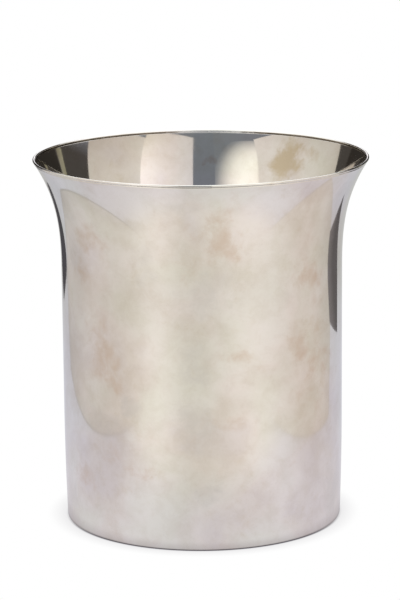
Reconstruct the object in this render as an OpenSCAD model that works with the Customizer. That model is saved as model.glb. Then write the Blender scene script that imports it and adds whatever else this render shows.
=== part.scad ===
// Champagne bucket: a rolled and flared silver wall on a let-in floor, with a wired lip.
// Millimetres, +Z up. The origin is on the bucket's axis, in the plane that it stands on.

/* [Wall] */
// Height from the table to the top of the lip
height = 220; // [190:1:260]
// Outside diameter of the straight part of the wall
body_d = 169; // [150:1:190]
// Outside diameter of the lip
mouth_d = 201; // [195:1:230]
// Height below the lip over which the wall flares out
flare_h = 69; // [50:1:100]
// How late the flare turns outwards: 2 opens evenly, 4 keeps it for the last stretch
flare_power = 2.8; // [2:0.1:4]
// How far the wall draws in on each side at the foot
foot_inset = 1.1; // [0:0.1:2.5]
// Height over which the wall draws in towards the foot
foot_inset_h = 64; // [30:1:80]
// Thickness of the silver sheet
sheet_t = 1.2; // [1:0.1:1.6]
// Rounding of the wall's lower outside edge
edge_r = 0.5; // [0.2:0.1:0.8]

/* [Lip] */
// Width of the half-round wire that finishes the lip
rim_wire_w = 1.4; // [1.3:0.1:2]
// Height of the wire's straight sides, below its round top
rim_wire_skirt = 0.4; // [0.3:0.1:0.6]
// Thickness of the solder between the wire and the edge of the sheet
rim_solder_t = 0.2; // [0.1:0.1:0.3]

/* [Floor and foot] */
// Thickness of the floor plate
floor_t = 1.5; // [1:0.1:2.5]
// Width of the square ring inside the foot
foot_ring_w = 3; // [2.5:0.1:4]
// Height of that ring, which is the height of the floor's underside
foot_ring_h = 3; // [2:0.1:3.8]
// Rounding of the foot ring's inner lower edge
foot_ring_edge_r = 0.6; // [0.3:0.1:1]
// Radius of the solder fillet between floor and wall, inside the bucket
floor_fillet_r = 2.4; // [1.6:0.1:4]
// Radius of the solder fillet between floor and foot ring, underneath
foot_fillet_r = 1.2; // [1:0.1:1.5]

/* [Hidden] */
$fn = 128;
silver = [0.80, 0.77, 0.74];
worn_silver = [0.72, 0.69, 0.66];
solder_silver = [0.76, 0.73, 0.66];
foot_steps = 6;
flare_steps = 24;
crown_steps = 18;

// The sheet's centreline runs from the foot into the middle of the rim wire.
wire_r = rim_wire_w / 2;
wire_axis_r = mouth_d / 2 - wire_r;
wire_z = height - wire_r;
mid_body_r = body_d / 2 - sheet_t / 2;
flare_z = height - flare_h;
flare_out = wire_axis_r - mid_body_r;

// Centreline radius at height z, its slope dr/dz, and how far up each bend z lies, from 0 to 1
function foot_share(z) = max(0, (foot_inset_h - z) / foot_inset_h);
function flare_share(z) = max(0, (z - flare_z) / (wire_z - flare_z));
function mid_r(z) = mid_body_r - foot_inset * pow(foot_share(z), 2)
    + flare_out * pow(flare_share(z), flare_power);
function slope(z) = 2 * foot_inset * foot_share(z) / foot_inset_h
    + flare_power * flare_out * pow(flare_share(z), flare_power - 1) / (wire_z - flare_z);

// Point at a distance d outside the centreline, square to it; the foot is cut level with the table
function beside_mid(z, d) = let (lean = atan(slope(z)))
    [mid_r(z) + d * cos(lean), max(0, z - d * sin(lean))];

wire_lean = atan(slope(wire_z));
sheet_top_z = wire_z - (rim_wire_skirt + rim_solder_t) * cos(wire_lean);

// Point at a height h above the wire's centre and a distance d outside it, in the wire's tilted section
function beside_wire(h, d) = [wire_axis_r, wire_z]
    + h * [sin(wire_lean), cos(wire_lean)] + d * [cos(wire_lean), -sin(wire_lean)];

// Heights of the wall's outline, from the table up to the sheet's upper edge
wall_heights = concat(
    [for (i = [0:foot_steps]) foot_inset_h * i / foot_steps],
    [for (i = [0:flare_steps]) flare_z + (sheet_top_z - flare_z) * i / flare_steps]
);
wall_inner_r = mid_r(foot_ring_h) - sheet_t / 2;
floor_z = foot_ring_h;
floor_top_z = floor_z + floor_t;
foot_ring_inner_r = wall_inner_r - foot_ring_w;
// Thickness at which a solder fillet's feather edge ends
toe = 0.2;
floor_flat_r = wall_inner_r - toe - floor_fillet_r;
// How far the rings run into the wall before the wall's own outline trims them
trim = sheet_t / 2;

module sheet_outline() {
    top = len(wall_heights) - 1;
    polygon(concat(
        [for (z = wall_heights) beside_mid(z, sheet_t / 2)],
        [for (i = [top:-1:0]) beside_mid(wall_heights[i], -sheet_t / 2)]
    ));
}

// Half-round section, its flat side down and tilted as the sheet is at the lip
module wire_outline() {
    polygon(concat(
        [beside_wire(-rim_wire_skirt, wire_r)],
        [for (i = [0:crown_steps]) let (a = 180 * i / crown_steps)
            beside_wire(wire_r * sin(a), wire_r * cos(a))],
        [beside_wire(-rim_wire_skirt, -wire_r)]
    ));
}

// What is left of a square corner once a round tool has run along it.
// The corner is at the origin and the metal lies towards +X and +Y.
module corner_outside_round(r) {
    difference() {
        translate([-r, -r]) square(2 * r);
        translate([r, r]) circle(r = r);
        translate([r, -2 * r]) square(4 * r);
        translate([-2 * r, r]) square(4 * r);
    }
}

// Sheet rolled into a tube, flared at the mouth and drawn in at the foot
module wall() {
    color(silver) rotate_extrude() difference() {
        sheet_outline();
        translate([mid_r(0) + sheet_t / 2, 0]) mirror([1, 0]) corner_outside_round(edge_r);
    }
}

// Half-round wire on the sheet's upper edge
module rim_wire() {
    color(silver) rotate_extrude() wire_outline();
}

// Solder that joins the sheet's upper edge to the wire's flat side, filed to run from one into the other
module rim_solder() {
    color(solder_silver) rotate_extrude() polygon([
        beside_mid(sheet_top_z, sheet_t / 2),
        beside_wire(-rim_wire_skirt, wire_r),
        beside_wire(-rim_wire_skirt, -wire_r),
        beside_mid(sheet_top_z, -sheet_t / 2)
    ]);
}

// Disc that closes the bottom, let in above the foot ring, with a shallow step for the solder round it
module floor_plate() {
    color(worn_silver) rotate_extrude() polygon([
        [0, floor_z],
        [wall_inner_r, floor_z],
        [wall_inner_r, floor_top_z - toe],
        [floor_flat_r, floor_top_z - toe],
        [floor_flat_r, floor_top_z],
        [0, floor_top_z]
    ]);
}

// Solder fillet round the inside corner, which seals the floor to the wall
module floor_solder() {
    color(solder_silver) rotate_extrude() difference() {
        translate([floor_flat_r, floor_top_z - toe])
            square([toe + floor_fillet_r + trim, toe + floor_fillet_r]);
        translate([floor_flat_r, floor_top_z + floor_fillet_r]) circle(r = floor_fillet_r);
        sheet_outline();
    }
}

// Square ring inside the foot: it stiffens the edge and carries the floor
module foot_ring() {
    color(worn_silver) rotate_extrude() difference() {
        translate([foot_ring_inner_r, 0]) square([foot_ring_w + trim, foot_ring_h]);
        translate([foot_ring_inner_r, 0]) corner_outside_round(foot_ring_edge_r);
        sheet_outline();
    }
}

// Solder fillet underneath, between the floor plate and the foot ring
module foot_solder() {
    color(solder_silver) rotate_extrude() difference() {
        translate([foot_ring_inner_r - foot_fillet_r, floor_z - foot_fillet_r]) square(foot_fillet_r);
        translate([foot_ring_inner_r - foot_fillet_r - toe, floor_z - foot_fillet_r - toe])
            circle(r = foot_fillet_r);
    }
}

wall();
rim_wire();
rim_solder();
floor_plate();
floor_solder();
foot_ring();
foot_solder();
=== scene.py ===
"""Polished silver champagne bucket with a flared mouth, on a white table in a small studio."""
from math import atan, cos, pi, radians, sin, tan

import bmesh
import bpy
from mathutils import Matrix, Vector, noise


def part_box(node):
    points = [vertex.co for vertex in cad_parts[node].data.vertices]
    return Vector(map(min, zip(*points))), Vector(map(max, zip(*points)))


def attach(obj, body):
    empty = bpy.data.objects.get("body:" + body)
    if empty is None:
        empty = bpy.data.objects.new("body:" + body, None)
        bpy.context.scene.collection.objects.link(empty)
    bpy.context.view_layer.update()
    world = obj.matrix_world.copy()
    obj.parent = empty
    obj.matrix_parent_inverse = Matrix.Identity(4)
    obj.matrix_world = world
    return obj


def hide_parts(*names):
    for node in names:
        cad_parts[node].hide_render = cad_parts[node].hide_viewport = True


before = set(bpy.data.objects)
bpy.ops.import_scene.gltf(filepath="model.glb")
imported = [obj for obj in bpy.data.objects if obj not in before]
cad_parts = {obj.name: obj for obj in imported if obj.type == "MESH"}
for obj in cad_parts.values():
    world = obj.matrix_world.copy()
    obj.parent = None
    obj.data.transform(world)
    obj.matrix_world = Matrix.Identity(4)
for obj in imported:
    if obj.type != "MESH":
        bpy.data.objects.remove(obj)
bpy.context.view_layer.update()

MM = 0.001
SCENE = bpy.context.scene

# ---------------------------------------------------------------- dimensions, in millimetres

# What the frame says
LIP_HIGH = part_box("rim_wire")[1] / MM
PLATE_LOW, PLATE_HIGH = (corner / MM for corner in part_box("floor_plate"))
RING_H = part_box("foot_ring")[1].z / MM
HEIGHT = LIP_HIGH.z
MOUTH_R = LIP_HIGH.x
FLOOR_Z = PLATE_LOW.z
FLOOR_TOP_Z = PLATE_HIGH.z
PLATE_R = PLATE_HIGH.x

# The turned profile, as in the CAD model
BODY_R = 84.5
FLARE_H = 69
FLARE_POWER = 2.8
FOOT_INSET = 1.1
FOOT_INSET_H = 64
SHEET_T = 1.2
EDGE_R = 0.5
WIRE_R = 0.7
WIRE_SKIRT = 0.4
RIM_SOLDER_T = 0.2
RING_W = 3
RING_EDGE_R = 0.6
FLOOR_FILLET_R = 2.4
FOOT_FILLET_R = 1.2
# How far a piece reaches into its neighbour, so that no gap shows
TOE = 0.2

# The solder's skin inside the lip: how far down from the sheet's edge, and how far proud of the sheet
LIP_SKIN = ((0.0, 0.09), (0.4, 0.08), (0.7, 0.05), (0.75, -0.05), (0.1, -0.05))

WIRE_AXIS_R = MOUTH_R - WIRE_R
WIRE_Z = HEIGHT - WIRE_R
MID_BODY_R = BODY_R - SHEET_T / 2
FLARE_Z = HEIGHT - FLARE_H
FLARE_OUT = WIRE_AXIS_R - MID_BODY_R

# Segments round the axis: enough for a mirror to stay unbroken
TURNS = 288
FINE_TURNS = 192

# Hand planishing leaves the wall this far from true, over dents of this size
PLANISH_DEPTH = 0.035
PLANISH_SIZE = 55


# ---------------------------------------------------------------- profile of the sheet

def foot_share(z):
    return max(0.0, (FOOT_INSET_H - z) / FOOT_INSET_H)


def flare_share(z):
    return max(0.0, (z - FLARE_Z) / (WIRE_Z - FLARE_Z))


def mid_r(z):
    """Radius of the sheet's centreline at height z."""
    return MID_BODY_R - FOOT_INSET * foot_share(z) ** 2 + FLARE_OUT * flare_share(z) ** FLARE_POWER


def lean(z):
    """Angle of the centreline from upright at height z."""
    foot = 2 * FOOT_INSET * foot_share(z) / FOOT_INSET_H
    flare = FLARE_POWER * FLARE_OUT * flare_share(z) ** (FLARE_POWER - 1) / (WIRE_Z - FLARE_Z)
    return atan(foot + flare)


def beside_mid(z, d):
    """Point (r, z) at a distance d outside the centreline, square to it."""
    return mid_r(z) + d * cos(lean(z)), z - d * sin(lean(z))


def beside_wire(h, d):
    """Point (r, z) at a height h above the wire's centre and a distance d outside it, tilted with the lip."""
    tilt = lean(WIRE_Z)
    return WIRE_AXIS_R + h * sin(tilt) + d * cos(tilt), WIRE_Z + h * cos(tilt) - d * sin(tilt)


SHEET_TOP_Z = WIRE_Z - (WIRE_SKIRT + RIM_SOLDER_T) * cos(lean(WIRE_Z))


def arc(centre, radius, start, end, steps):
    """Points (r, z) along a round stretch, angles in degrees."""
    turns = [radians(start + (end - start) * i / steps) for i in range(steps + 1)]
    return [(centre[0] + radius * cos(a), centre[1] + radius * sin(a)) for a in turns]


# ---------------------------------------------------------------- mesh work

def spun(name, outline, turns=TURNS, closed=True):
    """A ring or disc: the outline (r, z) spun all the way round the axis."""
    bm = bmesh.new()
    verts = [bm.verts.new((r * MM, 0, z * MM)) for r, z in outline]
    pairs = list(zip(verts, verts[1:])) + ([(verts[-1], verts[0])] if closed else [])
    edges = [bm.edges.new(pair) for pair in pairs]
    bmesh.ops.spin(
        bm, geom=verts + edges, axis=(0, 0, 1), cent=(0, 0, 0), angle=2 * pi,
        steps=turns, use_merge=True, use_duplicate=False,
    )
    bmesh.ops.remove_doubles(bm, verts=bm.verts, dist=0.0005 * MM)
    bmesh.ops.recalc_face_normals(bm, faces=bm.faces)
    return finished(name, bm)


def finished(name, bm):
    """Turns the bmesh into a smooth-shaded object of the scene."""
    for face in bm.faces:
        face.smooth = True
    mesh = bpy.data.meshes.new(name)
    bm.to_mesh(mesh)
    bm.free()
    piece = bpy.data.objects.new(name, mesh)
    SCENE.collection.objects.link(piece)
    return piece


def planish(piece):
    """Moves the skin in and out a little, as a hammer and a stake leave it."""
    for vert in piece.data.vertices:
        out = Vector((vert.co.x, vert.co.y, 0))
        if out.length > 0:
            place = vert.co / (PLANISH_SIZE * MM)
            dent = noise.noise(place) + 0.4 * noise.noise(place / 0.45)
            vert.co += out.normalized() * dent * PLANISH_DEPTH * MM


# ---------------------------------------------------------------- material helpers

def linear(hex_colour):
    """sRGB hex to linear light."""
    values = [int(hex_colour[i:i + 2], 16) / 255 for i in (1, 3, 5)]
    return (*(v / 12.92 if v <= 0.04045 else ((v + 0.055) / 1.055) ** 2.4 for v in values), 1.0)


def new_material(name):
    """An empty node material and its output node."""
    material = bpy.data.materials.new(name)
    material.use_nodes = True
    material.node_tree.nodes.clear()
    return material, material.node_tree.nodes.new("ShaderNodeOutputMaterial")


def add(tree, kind, inputs=None, take=None, stops=(), **settings):
    """Adds a node and returns the output that take names, or else the node. Its inputs take outputs of
    other nodes, sRGB hex colours or numbers; stops fill a colour ramp."""
    node = tree.nodes.new(kind)
    for key, value in settings.items():
        setattr(node, key, value)
    for key, value in (inputs or {}).items():
        if isinstance(value, bpy.types.NodeSocket):
            tree.links.new(value, node.inputs[key])
        else:
            node.inputs[key].default_value = linear(value) if isinstance(value, str) else value
    if stops:
        elements = node.color_ramp.elements
        elements.remove(elements[1])
        elements[0].position, elements[0].color = stops[0][0], linear(stops[0][1])
        for position, colour in stops[1:]:
            elements.new(position).color = linear(colour)
    return node.outputs[take] if take else node


# Settings that many nodes share
SOFTLY = {"interpolation_type": "SMOOTHSTEP"}
IN_COLOUR = {"data_type": "RGBA"}


# ---------------------------------------------------------------- silver

# Where the tarnish shows, with a few painted marks of light and shade among it: bearing in degrees from the
# camera's side towards +X, height, half width and half height in millimetres, and strength. Brown is old
# film; grey is thin film, but for three spots of painted shade; wiped is bright again, but for two painted
# highlights;
# and drops are yellowish marks that drying water left inside.
BROWN = (
    (6, 190, 11, 15, 0.9), (11, 178, 7, 6, 0.8), (-50, 182, 16, 8, 0.7), (-55, 162, 10, 8, 0.7),
    (-42, 112, 12, 14, 0.8), (-38, 98, 8, 6, 0.9), (-46, 129, 10, 8, 0.5), (47, 159, 13, 9, 0.9),
    (41, 117, 9, 10, 0.8), (54, 104, 13, 10, 0.8), (-24, 46, 12, 5, 0.7), (-58, 35, 13, 6, 0.7),
    (-42, 53, 9, 6, 0.5), (16, 117, 11, 4, 0.6), (8, 76, 14, 5, 0.4), (55, 130, 16, 14, 0.4),
    (47, 82, 14, 12, 0.4), (-5, 165, 8, 10, 0.5),
    (-150, 120, 16, 12, 0.7), (120, 90, 18, 12, 0.7), (-110, 60, 16, 10, 0.7), (160, 45, 20, 9, 0.6),
    (-170, 170, 12, 16, 0.6), (95, 165, 12, 10, 0.6), (-95, 150, 14, 10, 0.6), (177, 202, 3, 3, 1.0),
)
DROPS = ((144, 203, 9, 12, 1.3), (134, 209, 7, 5, 0.7))
GREY = (
    (2, 152, 13, 13, 0.8), (-2, 112, 13, 14, 0.7), (-60, 170, 8, 10, 0.7), (0, 34, 11, 7, 0.9),
    # The spots at bearing -48, height 72, and at bearings -66 and 66, height 206, are painted shade: they
    # darken the mirror where its reflection is darker.
    (-31, 83, 6, 5, 1.0), (-24, 172, 9, 12, 0.6), (-2, 76, 12, 12, 0.7), (-48, 72, 18, 8, 0.7),
    (-66, 206, 16, 16, 1.0), (66, 206, 14, 16, 1.0), (70, 20, 16, 18, 1.0), (-72, 16, 14, 14, 0.7),
    (-8, 205, 9, 8, 0.5),
    (140, 140, 20, 14, 0.6), (-130, 90, 18, 14, 0.6),
)
WIPED_AND_HIGHLIGHTS = (
    (-34, 175, 10, 7, 1.0), (27, 58, 15, 11, 1.0), (24, 128, 12, 9, 0.9), (22, 182, 13, 18, 0.8),
    # The spots at bearing -30, height 207, and at bearing 28, height 206, are painted highlights: they
    # brighten the mirror where its reflection is brighter.
    (-48, 94, 8, 7, 0.8), (-55, 128, 12, 8, 0.8), (-30, 207, 17, 11, 1.3), (28, 206, 14, 9, 1.0),
    (12, 155, 8, 5, 0.8),
    (-28, 66, 6, 7, 0.8), (-20, 130, 9, 30, 0.4), (170, 100, 16, 20, 0.8), (-160, 60, 18, 12, 0.7),
)

# Inside the lip the dark solder turns bright in the middle of the back; the bearing starts again there
LIP_BRIGHTER = ((175, 218, 21, 8, 1.6), (-185, 218, 21, 8, 1.6))

# Polishing grain is finer than this on the real metal; it is drawn as coarse as it needs to be seen
GRAIN_SIZE = 1.2

# How spots of each kind look: size of their mottling in millimetres, colour, and how much of it at most
BRIGHT_LOOK = (15, "#F7F6F3", 0.85)
GREY_LOOK = (13, "#DFDDDA", 0.7)
BROWN_LOOK = (11, "#DDCCBC", 0.75)
DROPS_LOOK = (14, "#CFBF9E", 0.8)


def covered(tree, skin, spots):
    """How much of the skin the spots cover: nothing past 1.7 half widths, all of it within 0.2.
    The skin is unrolled: arc length and height."""
    total = None
    for bearing, height, half_w, half_h, strength in spots:
        middle = (radians(bearing) * BODY_R * MM, height * MM, 0)
        aside = add(tree, "ShaderNodeVectorMath", {0: skin, 1: middle}, "Vector", operation="SUBTRACT")
        scaled = add(tree, "ShaderNodeVectorMath", {
            0: aside, 1: (1 / (half_w * MM), 1 / (half_h * MM), 0),
        }, "Vector", operation="MULTIPLY")
        away = add(tree, "ShaderNodeVectorMath", {0: scaled}, "Value", operation="LENGTH")
        spot = add(tree, "ShaderNodeMapRange", {
            "Value": away, "From Min": 1.7, "From Max": 0.2, "To Max": strength,
        }, "Result", **SOFTLY)
        total = spot if total is None else add(
            tree, "ShaderNodeMath", {0: total, 1: spot}, "Value", operation="MAXIMUM"
        )
    return total


def silver(name, clean, film, cloud_size, roughness, spots=()):
    """Silver sheet, mopped to a mirror and then handled, wiped and left to tarnish a little.
    The eye sees a slightly warm mirror under soft, ragged clouds of beige and brown film that blur it.
    Sizes are in millimetres; roughness is that of clean metal and of full film; each kind of spot comes
    with its look."""
    material, output = new_material(name)
    tree = material.node_tree
    place = add(tree, "ShaderNodeTexCoord", take="Object")
    clouds, ragged, grain, drift = (
        add(tree, "ShaderNodeTexNoise", {
            "Vector": place, "Scale": 1 / (size * MM), "Detail": detail, "Roughness": rough,
            "Distortion": twist,
        }, "Fac")
        for size, detail, rough, twist in (
            (cloud_size, 5.0, 0.55, 0.25), (0.24 * cloud_size, 7.0, 0.64, 0.3),
            (GRAIN_SIZE, 2.0, 0.7, 0.0), (1.1 * cloud_size, 3.0, 0.5, 0.3),
        )
    )

    # Film lies in clouds, patchy inside them
    in_clouds, in_patches = (
        add(tree, "ShaderNodeMapRange", {
            "Value": pattern, "From Min": start, "From Max": end, "To Max": most,
        }, "Result", **SOFTLY)
        for pattern, start, end, most in ((clouds, 0.36, 0.66, 0.7), (ragged, 0.38, 0.68, 0.42))
    )
    film_share = add(tree, "ShaderNodeMath", {0: in_clouds, 1: in_patches}, "Value", operation="ADD")

    # The film's colour drifts between green, grey and lavender, as thin sulphide does
    tints = add(tree, "ShaderNodeValToRGB", {"Fac": drift}, "Color", stops=(
        (0.34, "#FAFCF8"), (0.46, "#FCFCFB"), (0.54, "#FEFCFC"), (0.66, "#FBF9FD"),
    ))
    colour = clean
    for share, over, blend in (
        (film_share, film, "MIX"), (1.0, tints, "MULTIPLY"), (0.06, grain, "OVERLAY"),
    ):
        colour = add(
            tree, "ShaderNodeMix", {"Factor": share, "A": colour, "B": over}, "Result",
            blend_type=blend, **IN_COLOUR
        )

    dull = film_share
    if spots:
        split = add(tree, "ShaderNodeSeparateXYZ", {"Vector": place})
        behind = add(tree, "ShaderNodeMath", {0: split.outputs["Y"], 1: -1.0}, "Value", operation="MULTIPLY")
        bearing = add(
            tree, "ShaderNodeMath", {0: split.outputs["X"], 1: behind}, "Value", operation="ARCTAN2"
        )
        along = add(tree, "ShaderNodeMath", {0: bearing, 1: BODY_R * MM}, "Value", operation="MULTIPLY")
        unrolled = add(tree, "ShaderNodeCombineXYZ", {"X": along, "Y": split.outputs["Z"]}, "Vector")

        # Noise pushes the skin about, so that no spot keeps its oval outline
        push = add(tree, "ShaderNodeTexNoise", {
            "Vector": place, "Scale": 1 / (16 * MM), "Detail": 4.0, "Roughness": 0.6, "Distortion": 0.3,
        }, "Color")
        shift = add(tree, "ShaderNodeVectorMath", {
            0: push, 1: (0.5, 0.5, 0.5),
        }, "Vector", operation="SUBTRACT")
        skin = add(tree, "ShaderNodeVectorMath", {
            0: shift, 1: (26 * MM, 20 * MM, 0), 2: unrolled,
        }, "Vector", operation="MULTIPLY_ADD")

        # Each kind of spot is thickest where its own fine noise is high, so no edge is drawn
        for kind, (size, tint, most) in spots:
            patchy = add(tree, "ShaderNodeTexNoise", {
                "Vector": place, "Scale": 1 / (size * MM), "Detail": 7.0, "Roughness": 0.66,
                "Distortion": 0.3,
            }, "Fac")
            thick = add(tree, "ShaderNodeMath", {
                0: covered(tree, skin, kind), 1: 0.42, 2: patchy,
            }, "Value", operation="MULTIPLY_ADD")
            share = add(tree, "ShaderNodeMapRange", {
                "Value": thick, "From Min": 0.54, "From Max": 1.06, "To Max": most,
            }, "Result", **SOFTLY)
            colour = add(
                tree, "ShaderNodeMix", {"Factor": share, "A": colour, "B": tint}, "Result", **IN_COLOUR
            )
        # Only the last kind blurs the mirror beyond what the film does
        dull = add(tree, "ShaderNodeMath", {0: film_share, 1: share}, "Value", operation="MAXIMUM")

    blur = add(tree, "ShaderNodeMapRange", {
        "Value": dull, "To Min": roughness[0], "To Max": roughness[1],
    }, "Result")
    shader = add(tree, "ShaderNodeBsdfPrincipled", {
        "Base Color": colour, "Roughness": blur, "Metallic": 1.0,
    }, "BSDF")
    tree.links.new(shader, output.inputs["Surface"])
    return material


POLISHED = silver(
    "polished_silver_light_tarnish", "#F8F7F4", "#EAE6DF", 40, (0.035, 0.085),
    ((WIPED_AND_HIGHLIGHTS, BRIGHT_LOOK), (GREY, GREY_LOOK), (BROWN, BROWN_LOOK), (DROPS, DROPS_LOOK)),
)
# Silver sheet that ice and bottles have rubbed: a soft, greyer sheen without clear reflections
FLOOR_SILVER = silver("polished_silver_rubbed_dull", "#EDEAE6", "#D8CFC4", 24, (0.12, 0.26))
# Hard silver solder, filed and mopped: a little yellower and less bright than the sheet
SOLDER = silver("hard_silver_solder_filed", "#EFEADF", "#DED2BE", 12, (0.09, 0.2))
# The same solder inside the lip: brown-grey, drawing a dark line under the wire, and bright in the middle of
# the back
LIP_SOLDER = silver(
    "hard_silver_solder_darkened", "#837A6C", "#5E564B", 18, (0.12, 0.25), ((LIP_BRIGHTER, BRIGHT_LOOK),)
)


# ---------------------------------------------------------------- the bucket's pieces

def keep(piece, node, material):
    """Gives a finished piece its material and its body, and hides the CAD node that it stands for."""
    piece.data.materials.append(material)
    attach(piece, "root")
    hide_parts(node)


def wall():
    """Sheet tube: flared at the mouth, drawn in at the foot, its lower outside edge rounded."""
    half = SHEET_T / 2
    heights = [EDGE_R + (FOOT_INSET_H - EDGE_R) * i / 16 for i in range(1, 17)]
    heights += [FLARE_Z + (SHEET_TOP_Z - FLARE_Z) * i / 80 for i in range(81)]
    foot_edge = arc((mid_r(0) + half - EDGE_R, EDGE_R), EDGE_R, -90, 0, 6)
    outside = [beside_mid(z, half) for z in heights]
    inside = [beside_mid(z, -half) for z in reversed(heights)]
    piece = spun("bucket_wall", foot_edge + outside + inside + [(mid_r(0) - half, 0)])
    planish(piece)
    return piece


def rim_wire():
    """Half-round wire along the lip, its round side up."""
    tilt = 90 - lean(WIRE_Z) * 180 / pi
    crown = arc((WIRE_AXIS_R, WIRE_Z), WIRE_R, tilt - 90, tilt + 90, 16)
    return spun("lip_wire", [beside_wire(-WIRE_SKIRT, WIRE_R)] + crown + [beside_wire(-WIRE_SKIRT, -WIRE_R)])


def rim_solder():
    """Solder between the wire's flat side and the sheet's edge, with the thin skin that ran down inside."""
    inside = -SHEET_T / 2
    joint = [
        beside_mid(SHEET_TOP_Z, SHEET_T / 2),
        beside_wire(-WIRE_SKIRT, WIRE_R), beside_wire(-WIRE_SKIRT, -WIRE_R),
    ]
    skin = [beside_mid(SHEET_TOP_Z - down, inside - proud) for down, proud in LIP_SKIN]
    return spun("lip_solder", joint + skin)


def floor_plate():
    """Disc that closes the bottom, let in above the foot ring."""
    rings = [PLATE_R * i / 40 for i in range(1, 41)]
    top = [(r, FLOOR_TOP_Z) for r in rings]
    bottom = [(r, FLOOR_Z) for r in reversed(rings)]
    return spun(
        "floor_disc", [(0, FLOOR_TOP_Z)] + top + bottom + [(0, FLOOR_Z)], FINE_TURNS, closed=False
    )


def floor_solder():
    """Solder fillet round the inside corner, which seals the floor to the wall."""
    flat_r = PLATE_R - TOE - FLOOR_FILLET_R
    hollow = arc((flat_r, FLOOR_TOP_Z + FLOOR_FILLET_R), FLOOR_FILLET_R, -90, 0, 10)
    behind = [(PLATE_R + TOE, FLOOR_TOP_Z + FLOOR_FILLET_R), (PLATE_R + TOE, FLOOR_TOP_Z - TOE)]
    return spun("floor_fillet", hollow + behind + [(flat_r, FLOOR_TOP_Z - TOE)], FINE_TURNS)


def foot_ring():
    """Square ring inside the lower edge, rounded where hands take hold of it."""
    inner, outer = PLATE_R - RING_W, PLATE_R + TOE
    edge = arc((inner + RING_EDGE_R, RING_EDGE_R), RING_EDGE_R, -180, -90, 6)
    return spun("base_ring", edge + [(outer, 0), (outer, RING_H), (inner, RING_H)], FINE_TURNS)


def foot_solder():
    """Solder fillet underneath, between the floor and the foot ring."""
    inner = PLATE_R - RING_W
    low_r, low_z = inner - FOOT_FILLET_R - TOE, FLOOR_Z - FOOT_FILLET_R - TOE
    hollow = arc((low_r, low_z), FOOT_FILLET_R, 9.6, 80.4, 8)
    return spun("base_fillet", [(inner, low_z + TOE)] + hollow + [(low_r + TOE, FLOOR_Z), (inner, FLOOR_Z)],
                FINE_TURNS)


keep(wall(), "wall", POLISHED)
keep(rim_wire(), "rim_wire", POLISHED)
keep(rim_solder(), "rim_solder", LIP_SOLDER)
keep(floor_plate(), "floor_plate", FLOOR_SILVER)
keep(floor_solder(), "floor_solder", SOLDER)
keep(foot_ring(), "foot_ring", FLOOR_SILVER)
keep(foot_solder(), "foot_solder", SOLDER)


# ---------------------------------------------------------------- studio

# The silver sees a table of papers and boards, upright boards round it, and the unlit room above.
# Distances are from the bucket's axis, in millimetres; bearings are in degrees from the camera's
# side towards +X, and rises are in degrees above the lip.
PAPER_FRONT = -260
PAPER_FRONT_IN = -130
PAPER_BACK = 900
BOARD_DISTANCE = 1300
UNLIT_DISTANCE = 2600
ROOM_R = 4000

# The table's layers lie just under the foot: the one in view, the gaps and the papers
VIEW_Z = -0.05
GAP_Z = -0.09
PAPER_Z = -0.1
VIEW_HALF_W = 20000
PAPERS_HALF_W = 3000

# The camera: a long lens at eye height above the table, turned down to the bucket
LENS = 163.5
SENSOR_W = 36
EYE = (0, -1608.4, 489.8)
LOOK_DOWN = 12.55
PAN = 0.045
ROLL = -0.531


def card(name, corners, material, camera=False):
    """A flat card from four corners, in millimetres; its UV runs from the first corner to the third.
    The camera sees only the table, and the silver sees only the cards."""
    bm = bmesh.new()
    face = bm.faces.new([bm.verts.new(Vector(corner) * MM) for corner in corners])
    layer = bm.loops.layers.uv.new("card")
    for loop, uv in zip(face.loops, ((0, 0), (1, 0), (1, 1), (0, 1))):
        loop[layer].uv = uv
    return set_apart(finished(name, bm), material, camera)


def set_apart(piece, material, camera=False):
    """Keeps a studio piece out of everything but the view, or the reflections, that it is there for."""
    piece.data.materials.append(material)
    piece.visible_camera = camera
    piece.visible_glossy = not camera
    piece.visible_diffuse = False
    piece.visible_transmission = False
    piece.visible_volume_scatter = False
    piece.visible_shadow = False
    return piece


def glowing(name, paint, strength=1.0):
    """A lit surface: paint(tree) returns the output that holds its colour."""
    material, output = new_material(name)
    tree = material.node_tree
    shader = add(tree, "ShaderNodeEmission", {"Color": paint(tree), "Strength": strength}, "Emission")
    tree.links.new(shader, output.inputs["Surface"])
    return material


def foot_shade(tree, lit, layers, start, samples):
    """Shades the table round the foot. Each layer has a reach in millimetres, its darkest colour
    and how much of it lies on."""
    for reach, darkest, share in layers:
        open_share = add(
            tree, "ShaderNodeAmbientOcclusion", {"Distance": reach * MM}, "AO", samples=samples
        )
        shade = add(tree, "ShaderNodeValToRGB", {"Fac": open_share}, "Color", stops=(
            (start, darkest), (0.95, "#FFFFFF"),
        ))
        lit = add(
            tree, "ShaderNodeMix", {"Factor": share, "A": lit, "B": shade}, "Result",
            blend_type="MULTIPLY", **IN_COLOUR
        )
    return lit


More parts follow.
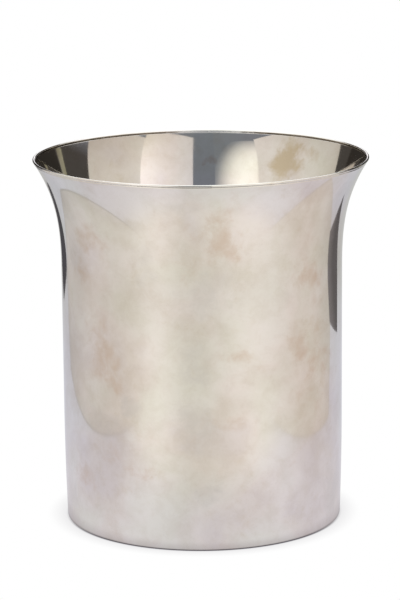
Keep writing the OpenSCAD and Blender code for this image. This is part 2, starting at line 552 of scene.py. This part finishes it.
def table_in_silver(tree):
    """White paper under the bucket and boards beside it, in pools of light from the lamps round them."""
    place = add(tree, "ShaderNodeTexCoord", take="Object")
    split = add(tree, "ShaderNodeSeparateXYZ", {"Vector": place})
    x, y = split.outputs["X"], split.outputs["Y"]
    away = add(tree, "ShaderNodeVectorMath", {0: place}, "Value", operation="LENGTH")

    # Soft steps, from and to in millimetres: the pools even out near the bucket and far from it, the paper
    # begins, the boards change colour, the paper's side edges show, and the foot's line is dark in front
    near, far, past_front, past_boards, edges_show, in_front = (
        add(tree, "ShaderNodeMapRange", {
            "Value": value, "From Min": start * MM, "From Max": end * MM, "To Min": low, "To Max": high,
        }, "Result", **SOFTLY)
        for value, start, end, low, high in (
            (away, 320, 60, 0.0, 0.75), (away, 450, 1100, 0.0, 0.5),
            (y, PAPER_FRONT, PAPER_FRONT_IN, 0.0, 1.0), (y, 50, 330, 0.0, 1.0),
            (y, -290, -110, 0.0, 1.0), (y, 0, -65, 0.2, 1.0),
        )
    )

    # Pools of light by bearing
    behind = add(tree, "ShaderNodeMath", {0: y, 1: -1.0}, "Value", operation="MULTIPLY")
    bearing = add(tree, "ShaderNodeMath", {0: x, 1: behind}, "Value", operation="ARCTAN2")
    turn = add(tree, "ShaderNodeMath", {
        0: bearing, 1: 1 / (2 * pi), 2: 0.5,
    }, "Value", operation="MULTIPLY_ADD")
    pools_ramp = add(tree, "ShaderNodeValToRGB", {"Fac": turn}, stops=[
        ((angle + 180) / 360, colour) for angle, colour in (
            (-180, "#EAEAEE"), (-150, "#C0C2C6"), (-100, "#C5C3C3"), (-78, "#C8C5C4"), (-56, "#CFCCC8"),
            (-34, "#EAE8E6"), (-18, "#D3D1CE"), (-6, "#CFCECA"), (10, "#D4D3CF"), (24, "#DEDBD9"),
            (40, "#E3E0DE"), (58, "#DAD7D6"), (80, "#CCC6C2"), (110, "#C6C1BF"), (150, "#C2C4C8"),
            (180, "#EAEAEE"),
        )
    ])
    pools_ramp.color_ramp.interpolation = "B_SPLINE"
    even = add(tree, "ShaderNodeMath", {0: near, 1: far}, "Value", operation="MAXIMUM")
    pools = add(tree, "ShaderNodeMix", {
        "Factor": even, "A": pools_ramp.outputs["Color"], "B": "#CFCDCD",
    }, "Result", **IN_COLOUR)

    # How far in from the paper's two edges: the left one slants, and both turn outwards further back
    in_from_edges = []
    for side, turn_y, splay, slant, half_w in ((1.0, 270, 0.45, 0.126, 300), (-1.0, 115, 1.1, 0.0, 280)):
        past_turn = add(tree, "ShaderNodeMath", {0: y, 1: turn_y * MM}, "Value", operation="SUBTRACT")
        splayed = add(tree, "ShaderNodeMath", {0: past_turn, 1: 0.0}, "Value", operation="MAXIMUM")
        straight = add(tree, "ShaderNodeMath", {
            0: y, 1: slant, 2: half_w * MM,
        }, "Value", operation="MULTIPLY_ADD")
        edge = add(tree, "ShaderNodeMath", {
            0: splayed, 1: splay, 2: straight,
        }, "Value", operation="MULTIPLY_ADD")
        in_from_edges.append(add(tree, "ShaderNodeMath", {
            0: x, 1: side, 2: edge,
        }, "Value", operation="MULTIPLY_ADD"))
    in_from_left, in_from_right = in_from_edges

    inside = add(tree, "ShaderNodeMath", {0: in_from_left, 1: in_from_right}, "Value", operation="MINIMUM")
    between = add(tree, "ShaderNodeMapRange", {
        "Value": inside, "From Min": -2 * MM, "From Max": 2 * MM,
    }, "Result", **SOFTLY)
    on_paper = add(tree, "ShaderNodeMath", {0: between, 1: past_front}, "Value", operation="MULTIPLY")
    # The paper's colour along its length is painted light: it changes with the light that falls on it from
    # front to back
    along = add(tree, "ShaderNodeMapRange", {
        "Value": y, "From Min": PAPER_FRONT * MM, "From Max": PAPER_BACK * MM,
    }, "Result")
    paper = add(tree, "ShaderNodeValToRGB", {"Fac": along}, "Color", stops=(
        (0.0, "#E6E2E2"), (0.31, "#ECEBF2"), (0.58, "#E2E2E6"), (0.78, "#D2D2CF"), (1.0, "#CDCDC8"),
    ))
    lit = add(tree, "ShaderNodeMix", {
        "Factor": past_boards, "A": "#EDE8E3", "B": "#DFDAD4",
    }, "Result", **IN_COLOUR)
    for share, over, blend in ((on_paper, paper, "MIX"), (1.0, pools, "MULTIPLY")):
        lit = add(
            tree, "ShaderNodeMix", {"Factor": share, "A": lit, "B": over}, "Result",
            blend_type=blend, **IN_COLOUR
        )

    # The paper stands a little proud of the boards: painted shade beside it and a thin painted shadow line
    # along its edge
    for inward, softest, line_shade in ((in_from_left, 0.93, 0.8), (in_from_right, 0.98, 0.92)):
        soft, beyond, into_line, out_of_line = (
            add(tree, "ShaderNodeMapRange", {
                "Value": inward, "From Min": start * MM, "From Max": end * MM, "To Min": low, "To Max": high,
            }, "Result", **SOFTLY)
            for start, end, low, high in (
                (-75, -3, 1.0, softest), (-2, 1, 0.0, 1.0), (-7, -3, 0.0, 1.0), (2, -1, 0.0, 1.0),
            )
        )
        beside = add(tree, "ShaderNodeMath", {0: soft, 1: beyond}, "Value", operation="MAXIMUM")
        line = add(tree, "ShaderNodeMath", {0: into_line, 1: out_of_line}, "Value", operation="MULTIPLY")
        line = add(tree, "ShaderNodeMath", {
            0: line, 1: line_shade - 1, 2: 1.0,
        }, "Value", operation="MULTIPLY_ADD")
        shade = add(tree, "ShaderNodeMath", {0: beside, 1: line}, "Value", operation="MULTIPLY")
        grey = add(tree, "ShaderNodeCombineXYZ", {"X": shade, "Y": shade, "Z": shade}, "Vector")
        lit = add(
            tree, "ShaderNodeMix", {"Factor": edges_show, "A": lit, "B": grey}, "Result",
            blend_type="MULTIPLY", **IN_COLOUR
        )

    # Dark line where the foot touches the table, with a fainter shade round it
    return foot_shade(tree, lit, ((18, "#DCDADC", 1.0), (2.5, "#4E4A50", in_front)), 0.45, 16)


def table_in_view(tree):
    """White table, burnt out by the light but for the soft shadow at the bucket's foot."""
    place = add(tree, "ShaderNodeTexCoord", take="Object")
    y = add(tree, "ShaderNodeSeparateXYZ", {"Vector": place}, "Y")
    # The lamps at both sides light the foot there, so the line under it is dark only in front
    in_front = add(tree, "ShaderNodeMapRange", {
        "Value": y, "From Min": 0.0, "From Max": -65 * MM, "To Min": 0.15,
    }, "Result", **SOFTLY)
    return foot_shade(tree, "#FFFFFF", ((15, "#E6E5E6", 0.8), (1.6, "#77737A", in_front)), 0.5, 24)


def corner_blend(low_left, low_right, high_left, high_right):
    """Paints a card by blending the colours of its four corners."""
    def paint(tree):
        uv = add(tree, "ShaderNodeSeparateXYZ", {"Vector": add(tree, "ShaderNodeUVMap", take="UV")})
        low, high = (
            add(tree, "ShaderNodeMix", {
                "Factor": uv.outputs["X"], "A": left, "B": right,
            }, "Result", **IN_COLOUR)
            for left, right in ((low_left, low_right), (high_left, high_right))
        )
        return add(
            tree, "ShaderNodeMix", {"Factor": uv.outputs["Y"], "A": low, "B": high}, "Result", **IN_COLOUR
        )
    return paint


def lamp_glow(tree):
    """Round pool of warm light that dies away into the grey behind it."""
    uv = add(tree, "ShaderNodeUVMap", take="UV")
    aside = add(tree, "ShaderNodeVectorMath", {0: uv, 1: (0.05, 0.2, 0.0)}, "Vector", operation="SUBTRACT")
    scaled = add(tree, "ShaderNodeVectorMath", {
        0: aside, 1: (0.76, 0.84, 0.0),
    }, "Vector", operation="MULTIPLY")
    away = add(tree, "ShaderNodeVectorMath", {0: scaled}, "Value", operation="LENGTH")
    return add(tree, "ShaderNodeValToRGB", {"Fac": away}, "Color", stops=(
        (0.0, "#F6F2E8"), (0.3, "#F3EFE5"), (0.46, "#E0DAD1"), (0.6, "#B5B1AC"), (0.7, "#88888A"),
        (0.78, "#6E7177"),
    ))


def room_shade(tree):
    """Dark brown low down, where the room's things stand, slate grey above, and a white ceiling light
    that hangs over the bucket and a little behind it."""
    place = add(tree, "ShaderNodeTexCoord", take="Object")
    towards = add(tree, "ShaderNodeVectorMath", {0: place}, "Vector", operation="NORMALIZE")
    up = add(tree, "ShaderNodeSeparateXYZ", {"Vector": towards}, "Z")
    walls = add(tree, "ShaderNodeValToRGB", {"Fac": up}, "Color", stops=(
        (0.0, "#45413D"), (0.48, "#4A4643"), (0.7, "#7A7C82"), (1.0, "#7C7E84"),
    ))
    overhead = add(
        tree, "ShaderNodeVectorMath", {0: towards, 1: (0.0, 0.342, 0.94)}, "Value", operation="DOT_PRODUCT"
    )
    under_lamp = add(tree, "ShaderNodeMapRange", {
        "Value": overhead, "From Min": 0.64, "From Max": 0.67,
    }, "Result")
    return add(tree, "ShaderNodeMix", {
        "Factor": under_lamp, "A": walls, "B": (1.25, 1.25, 1.25, 1.0),
    }, "Result", **IN_COLOUR)


def upright(name, bearings, rises, paint, strength=1.0, distance=BOARD_DISTANCE):
    """An upright board between two bearings. Its upper edge may slope from the second rise to the third."""
    def corner(bearing, rise):
        return (
            distance * sin(radians(bearing)), -distance * cos(radians(bearing)),
            HEIGHT + distance * tan(radians(rise)),
        )
    start, end = bearings
    low, high_start, high_end = rises
    card(
        name, (corner(start, low), corner(end, low), corner(end, high_end), corner(start, high_start)),
        glowing(name + "_light", paint, strength),
    )


def studio():
    """The table in view, and all that the silver sees."""
    for name, half_w, z, light, paint, strength, seen in (
        ("table_top", VIEW_HALF_W, VIEW_Z, "white_table", table_in_view, 1.0, True),
        ("table_papers", PAPERS_HALF_W, PAPER_Z, "lit_papers", table_in_silver, 1.37, False),
    ):
        corners = ((-half_w, -half_w, z), (half_w, -half_w, z), (half_w, half_w, z), (-half_w, half_w, z))
        card(name, corners, glowing(light, paint, strength), camera=seen)

    # Dark gaps between the papers and the uprights
    for name, corners, colours in (
        ("left_gap", ((-306, 553), (-250, 900), (-2800, 2400), (-2800, 920)),
         ("#4C4A4E", "#4C4A4E", "#5D5B5E", "#5D5B5E")),
        ("right_gap", ((352, 391), (500, 302), (2800, 1268), (1657, 2400)),
         ("#5E5A5B", "#807A7C", "#6A6768", "#545051")),
        ("left_gap_far", ((-250, 900), (-70, 1700), (-70, 2400), (-520, 2400)),
         ("#55524F", "#55524F", "#55524F", "#55524F")),
    ):
        card(name, [(x, y, GAP_Z) for x, y in corners], glowing(name + "_shade", corner_blend(*colours)))

    card(
        "backdrop", ((-230, 1400, 0), (190, 1400, 0), (190, 1400, 2600), (-230, 1400, 2600)),
        glowing("backdrop_light", corner_blend("#F4F2F6", "#F4F2F6", "#FFFFFF", "#FFFFFF"), 1.25),
    )
    for name, bearings, rises, colours, strength in (
        ("left_warm_board", (-131, -50), (-8, 26, 48), ("#D2CCC2", "#F4EFE8", "#C0B8AE", "#DCD4CC"), 1.0),
        ("camera_gap", (-12, 7), (-8, 60, 60), ("#73767E", "#73767E", "#787C84", "#787C84"), 1.0),
        ("right_white_board", (7, 53), (-8, 53, 54), ("#BEB9BA", "#F6EEE9", "#B7B0AD", "#C3BAAD"), 1.4),
        ("right_warm_board", (53, 104.2), (-8, 50, 44), ("#E2DED2", "#DCD7CE", "#D8CFC6", "#A89C90"), 1.05),
        ("window_strip", (131.2, 136.6), (-8, 23, 25), ("#726A57", "#BCB7A8", "#A39F88", "#6A634F"), 1.0),
    ):
        upright(name, bearings, rises, corner_blend(*colours), strength)
    upright("lamp_spill", (-50, -12), (-8, 47, 47), lamp_glow, 1.25)
    upright(
        "unlit_back", (136, 218), (-8, 30, 30), corner_blend("#221F1B", "#37332F", "#3A3632", "#2C2926"),
        distance=UNLIT_DISTANCE,
    )
    bm = bmesh.new()
    bmesh.ops.create_icosphere(bm, subdivisions=4, radius=ROOM_R * MM)
    set_apart(finished("unlit_room", bm), glowing("unlit_room_shade", room_shade))


def camera():
    """Looks at the bucket from the front, with the roll and pan of a hand-set tripod."""
    data = bpy.data.cameras.new("camera")
    data.lens = LENS
    data.sensor_width = SENSOR_W
    data.clip_end = 100
    eye = bpy.data.objects.new("camera", data)
    down = Matrix.Rotation(radians(90 - LOOK_DOWN), 4, "X")
    level = Matrix.Rotation(radians(ROLL), 4, "Z")
    aim = Matrix.Rotation(radians(PAN), 4, "Z")
    eye.matrix_world = Matrix.Translation(Vector(EYE) * MM) @ aim @ down @ level
    SCENE.collection.objects.link(eye)
    SCENE.camera = eye


def world_light():
    """Even white light from every side, for what the cards don't reach."""
    world = bpy.data.worlds.new("soft_white_light")
    world.use_nodes = True
    world.node_tree.nodes["Background"].inputs["Color"].default_value = (1, 1, 1, 1)
    SCENE.world = world


studio()
world_light()
camera()
SCENE.view_settings.view_transform = "Standard"
